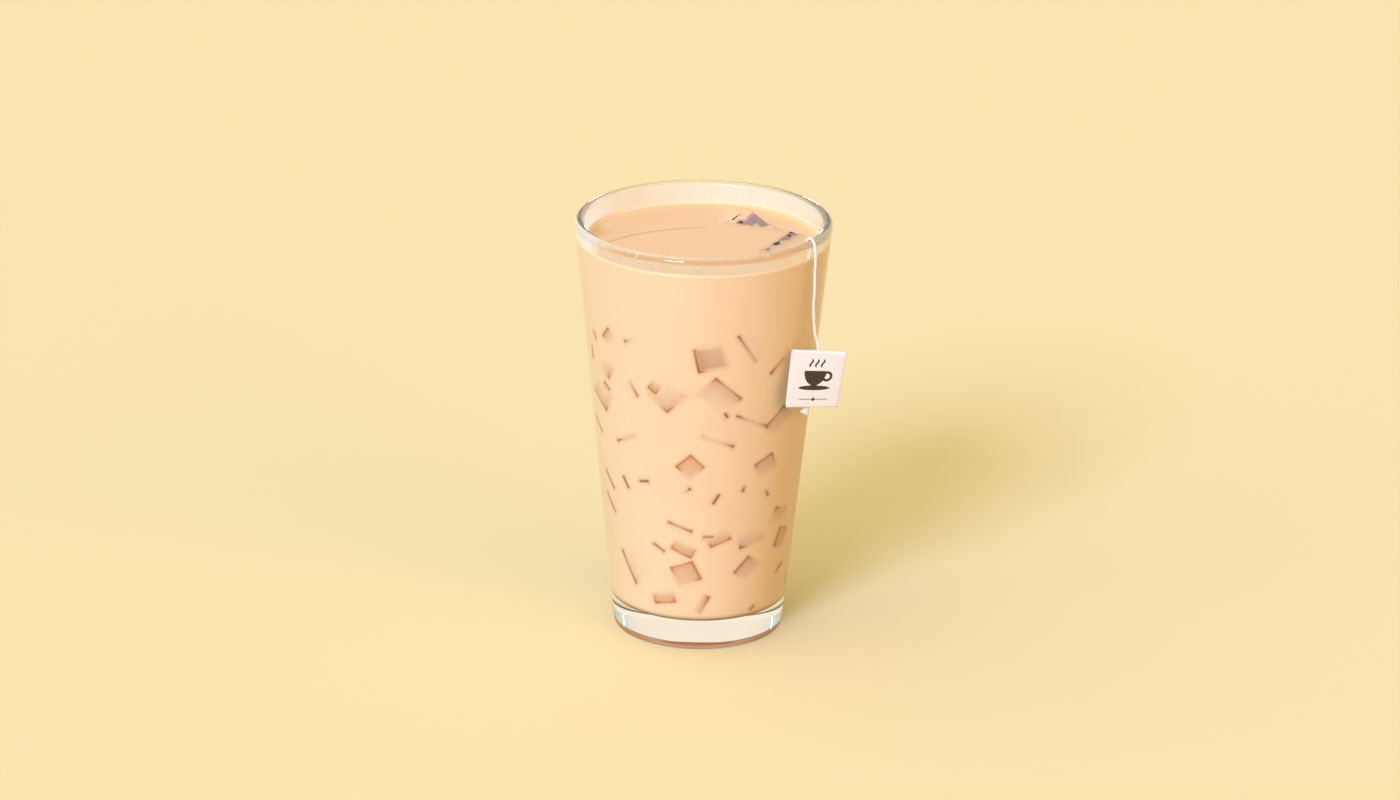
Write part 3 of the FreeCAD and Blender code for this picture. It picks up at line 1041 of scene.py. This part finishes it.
def buildFilm():
    section, ringRadius, ringHeight = rimCentre()
    f = filmSpec
    lean = math.atan(wallSlope)
    start = teaSpec["level"] + teaSpec["rise"] - f["low"]
    end = ringHeight + section * math.sin(lean)
    # up the wall, then round the rim's inner edge: places with the way out of the glass's surface
    path = []
    for k in range(f["wallSteps"]):
        height = start + (end - start) * k / f["wallSteps"]
        path.append((Vector((innerRadius(height), height)), Vector((-math.cos(lean), math.sin(lean)))))
    for k in range(f["rimSteps"] + 1):
        a = math.pi - lean - math.radians(f["turnOver"]) * k / f["rimSteps"]
        out = Vector((math.cos(a), math.sin(a)))
        path.append((Vector((ringRadius, ringHeight)) + out * section, out))
    outline = [p + n * f["depth"] for p, n in path] + [p - n * f["depth"] for p, n in reversed(path)]
    columns, size = f["columns"], len(outline)
    points, faces = [], []
    for k in range(columns):
        angle = 2 * math.pi * k / columns
        points += [(r * math.cos(angle), r * math.sin(angle), z) for r, z in outline]
        low, high = k * size, (k + 1) % columns * size
        faces += [(low + j, high + j, high + (j + 1) % size, low + (j + 1) % size) for j in range(size)]
    obj = newObject("milkFilm", meshFrom("milkFilm", points, faces))
    obj.data.materials.append(filmMaterial())
    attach(obj, "root")


def buildDrops():
    # little drops on the inside of the wall, painted pale as a painted highlight
    d = dropSpec
    rng = random.Random(d["seed"])
    rows = []
    for i in range(d["count"]):
        bearing = d["from"] + (d["to"] - d["from"]) * (i + rng.random()) / d["count"]
        point, right, up, out = wallFrame(bearing, rng.uniform(d["low"], d["high"]))
        size = rng.uniform(*d["size"])
        turn = Matrix((right, up, out)).transposed().to_euler()
        rows.append((point - out * size * d["sunk"], turn,
                     (size, size * rng.uniform(*d["stretch"]), size * d["flat"]), 0.0))
    material = dropMaterial()
    drops = scattered("wallDrops", rows, material, "GeometryNodeMeshIcoSphere",
                      {"Radius": 1.0, "Subdivisions": 3}, smooth=True)
    # one bubble against the glass lower down
    point, right, up, out = wallFrame(d["bubble"][0], d["bubble"][1] * mm)
    axes = Matrix((right, up, out)).transposed()
    bm = bmesh.new()
    bmesh.ops.create_circle(bm, segments=d["bubbleSides"], radius=d["bubbleRing"])
    bm.transform(Matrix.Translation((d["bubbleRadius"], 0, 0)) @ Matrix.Rotation(math.pi / 2, 4, "X"))
    bmesh.ops.spin(bm, geom=bm.verts[:] + bm.edges[:], axis=(0, 0, 1), cent=(0, 0, 0),
                   steps=d["bubbleSteps"], angle=2 * math.pi, use_merge=True)
    bmesh.ops.recalc_face_normals(bm, faces=bm.faces)
    bm.transform(Matrix.Translation(point + out * (teaSpec["intoWall"] + d["bubbleOut"])) @ axes.to_4x4())
    ring = bpy.data.meshes.new("wallBubble")
    bm.to_mesh(ring)
    bm.free()
    ring.shade_smooth()
    ring.materials.append(material)
    for piece in (drops, newObject("wallBubble", ring)):
        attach(piece, "root")
    print("film, drops and bubble done")


# string

stringSpec = {
    # in the tea, up the inside of the wall, over the rim and down to the tag, with its small kinks
    "route": [(32.0, -16.6, 129.6), (35.3, -19.0, 143.9), (35.6, -19.5, 149.8), (38.0, -24.7, 149.8),
              (38.5, -24.9, 143.6), (38.2, -24.6, 137.5), (38.4, -24.5, 132.0), (38.0, -24.4, 126.5),
              (38.3, -24.4, 121.0), (38.7, -24.3, 116.0), (39.9, -24.3, 112.5), (40.3, -24.2, 108.7)],
    "diameter": 0.001, "strands": 3, "pitch": 0.0024, "press": 1.12, "step": 0.00025,
    "resolution": 10, "routeSteps": 24,
}


def stringRoute():
    s = stringSpec
    curve = bpy.data.curves.new("stringRoute", "CURVE")
    curve.dimensions = "3D"
    curve.resolution_u = s["routeSteps"]
    spline = curve.splines.new("NURBS")
    spline.points.add(len(s["route"]) - 1)
    for point, place in zip(spline.points, s["route"]):
        point.co = (*(v * mm for v in place), 1)
    spline.order_u = 3
    spline.use_endpoint_u = True
    return newObject("stringRoute", curve)


def buildString():
    s = stringSpec
    route = stringRoute()
    line = [v.co.copy() for v in bpy.data.meshes.new_from_object(route).vertices]
    obj = newObject("cottonString", bpy.data.meshes.new("cottonString"))
    # strands that press a little into one another
    strand = s["diameter"] / (1 + 2 / math.sqrt(3)) / 2 * s["press"]
    values = {"Route": route, "Strands": s["strands"], "Pitch": s["pitch"], "Strand Radius": strand,
              "Lay Radius": s["diameter"] / 2 - strand, "Material": cottonMaterial()}
    tree, inputs = shapeTree("twistedStrands", values)
    fine = put(tree, "GeometryNodeResampleCurve", {"Curve": shapeOf(inputs["Route"]), "Length": s["step"]},
               mode="LENGTH")[0]
    copies = put(tree, "GeometryNodeDuplicateElements", {"Geometry": fine, "Amount": inputs["Strands"]},
                 domain="SPLINE")
    along = put(tree, "GeometryNodeSplineParameter")["Length"]
    angle = (along / inputs["Pitch"] + copies["Duplicate Index"] / inputs["Strands"]) * (2 * math.pi)
    normal = put(tree, "GeometryNodeInputNormal")[0]
    side = vecCalc("CROSS_PRODUCT", put(tree, "GeometryNodeInputTangent")[0], normal)
    offset = vecCalc("ADD", scaled(normal, calc("COSINE", angle) * inputs["Lay Radius"]),
                     scaled(side, calc("SINE", angle) * inputs["Lay Radius"]))
    laid = put(tree, "GeometryNodeSetPosition", {"Geometry": copies[0], "Offset": offset})[0]
    ring = put(tree, "GeometryNodeCurvePrimitiveCircle", {"Resolution": s["resolution"],
                                                          "Radius": inputs["Strand Radius"]})[0]
    tube = put(tree, "GeometryNodeCurveToMesh", {"Curve": laid, "Profile Curve": ring, "Fill Caps": True})[0]
    endTree(smoothed(tube), inputs["Material"])
    useTree(obj, tree, values)
    bpy.data.objects.remove(route)
    length = sum((b - a).length for a, b in zip(line, line[1:]))
    print("string", round(length, 4), "m")
    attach(obj, "root")
    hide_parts("tag_string")
    return obj, line, length


# tag

tagSpec = {
    "top": (40.47, -24.13, 109.9), "width": 20.2, "height": 20.0, "leaf": 0.28, "fold": 0.75, "foot": 0.2,
    "turn": 21.5, "slant": 8.7, "twist": 0.0069, "curl": -0.005, "bulge": 0.7,
    "columns": 72, "rows": 66, "foldSteps": 10, "noInk": 9.0,
    "tongue": [(-0.6, 19.0), (-0.75, 23.4), (-4.0, 21.9)], "tongueOut": 0.32, "tongueSteps": 6,
}
# a cup on its saucer over a plain rule: middle (right, down) and sizes in mm
printSpec = {
    "middle": (0.0, 8.6), "bowl": (-0.5, -1.6, 4.3, 5.3), "handle": (4.1, 0.3), "handleRadii": (1.0, 1.9),
    "handleFlat": 0.9, "handleFrom": 1.0, "saucer": (-0.3, 4.5, 6.1, 0.85),
    "steam": (-2.6, -0.4, 1.8), "steamSpan": (-6.1, -2.7), "steamHalf": 0.42, "steamBend": 0.45,
    "rule": (5.6, 17.2, 0.16), "diamond": 0.75, "diamondSlope": 0.7,
}


def inkOutline(across, down):
    # distance outside the print's outline in mm, below zero where there is ink
    p = printSpec
    x, y = across - p["middle"][0], down - p["middle"][1]

    def ellipse(cx, cy, rx, ry):
        reach = math.hypot((x - cx) / rx, (y - cy) / ry)
        return (reach - 1) * min(rx, ry)

    bowl = max(ellipse(*p["bowl"]), p["bowl"][1] - y)
    ring = math.hypot((x - p["handle"][0]) * p["handleFlat"], y - p["handle"][1])
    inner, outer = p["handleRadii"]
    handle = max(ring - outer, inner - ring, p["handleFrom"] - x)
    shapes = [bowl, handle, ellipse(*p["saucer"])]
    high, low = p["steamSpan"]
    for foot in p["steam"]:
        share = (y - high) / (low - high)
        bend = foot + p["steamBend"] * math.sin(2 * math.pi * share)
        thick = p["steamHalf"] * math.sin(math.pi * max(0, min(1, share))) ** 0.5
        shapes.append(max(abs(x - bend) - thick, high - y, y - low))
    half, ruleDown, thick = p["rule"]
    shapes.append(max(abs(down - ruleDown) - thick, abs(x) - half))
    shapes.append((abs(x) + abs(down - ruleDown) - p["diamond"]) * p["diamondSlope"])
    return min(shapes)


def tagPoint(across, down, out):
    # a place on the card in mm: across to the right, down from the fold, out of its middle plane
    t = tagSpec
    depth = out + t["twist"] * across * -down - 0.5 * t["curl"] * down * down
    slant, turn = math.radians(t["slant"]), math.radians(t["turn"])
    a = across * math.cos(slant) - down * math.sin(slant)
    b = -across * math.sin(slant) - down * math.cos(slant)
    x = t["top"][0] + a * math.cos(turn) + depth * math.sin(turn)
    y = t["top"][1] + a * math.sin(turn) - depth * math.cos(turn)
    return Vector((x, y, t["top"][2] + b)) * mm


def buildTag():
    t = tagSpec
    # the card's height as a path over the fold: (down, out)
    path = []
    for k in range(t["rows"] + 1):
        down = t["height"] - (t["height"] - t["fold"]) * k / t["rows"]
        share = (t["height"] - down) / t["height"]
        path.append((down, t["foot"] + (t["fold"] - t["foot"]) * share ** t["bulge"]))
    arc = [(t["fold"] - t["fold"] * math.sin(a), t["fold"] * math.cos(a))
           for a in (math.pi * k / t["foldSteps"] for k in range(1, t["foldSteps"]))]
    path = path + arc + [(d, -o) for d, o in reversed(path)]
    points, faces, ink = [], [], []
    n = t["columns"] + 1
    for down, out in path:
        for i in range(n):
            across = (i / t["columns"] - 0.5) * t["width"]
            points.append(tagPoint(across, down, out))
            ink.append(inkOutline(across, down) if out > 0 and down > t["fold"] else t["noInk"])
    for j in range(len(path) - 1):
        for i in range(t["columns"]):
            a = j * n + i
            faces.append((a, a + 1, a + n + 1, a + n))
    # a loose pointed corner of the back leaf hangs below
    first = len(points)
    steps = t["tongueSteps"]
    rows = []
    for i in range(steps + 1):
        row = []
        for j in range(steps + 1 - i):
            w = (1 - (i + j) / steps, i / steps, j / steps)
            across, down = (sum(v * c[m] for v, c in zip(w, t["tongue"])) for m in (0, 1))
            row.append(len(points))
            points.append(tagPoint(across, down, -t["foot"] - t["tongueOut"]))
            ink.append(t["noInk"])
        rows.append(row)
    for low, high in zip(rows, rows[1:]):
        for j in range(len(high)):
            faces.append((low[j], low[j + 1], high[j]))
            if j + 1 < len(high):
                faces.append((low[j + 1], high[j + 1], high[j]))
    print("tag", first, "points and a tongue of", len(points) - first)
    obj = newObject("foldedTag", meshFrom("foldedTag", points, faces))
    layer = obj.data.attributes.new("inkOutline", "FLOAT", "POINT")
    layer.data.foreach_set("value", ink)
    solid = obj.modifiers.new("leaf", "SOLIDIFY")
    solid.thickness = t["leaf"] * mm
    solid.offset = 0
    baked(obj)
    obj.data.materials.append(cardMaterial())
    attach(obj, "root")
    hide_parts("paper_tag")
    return obj


# build

buildCamera()
buildFloor()
buildWorld()
buildLamps()
cottonString, stringLine, stringLength = buildString()
foldedTag = buildTag()
buildGlass()
sunk = buildSunkIce()
buildFloatingIce()
buildTea(sunk)
buildFilm()
buildDrops()
scene.view_settings.view_transform = "Standard"
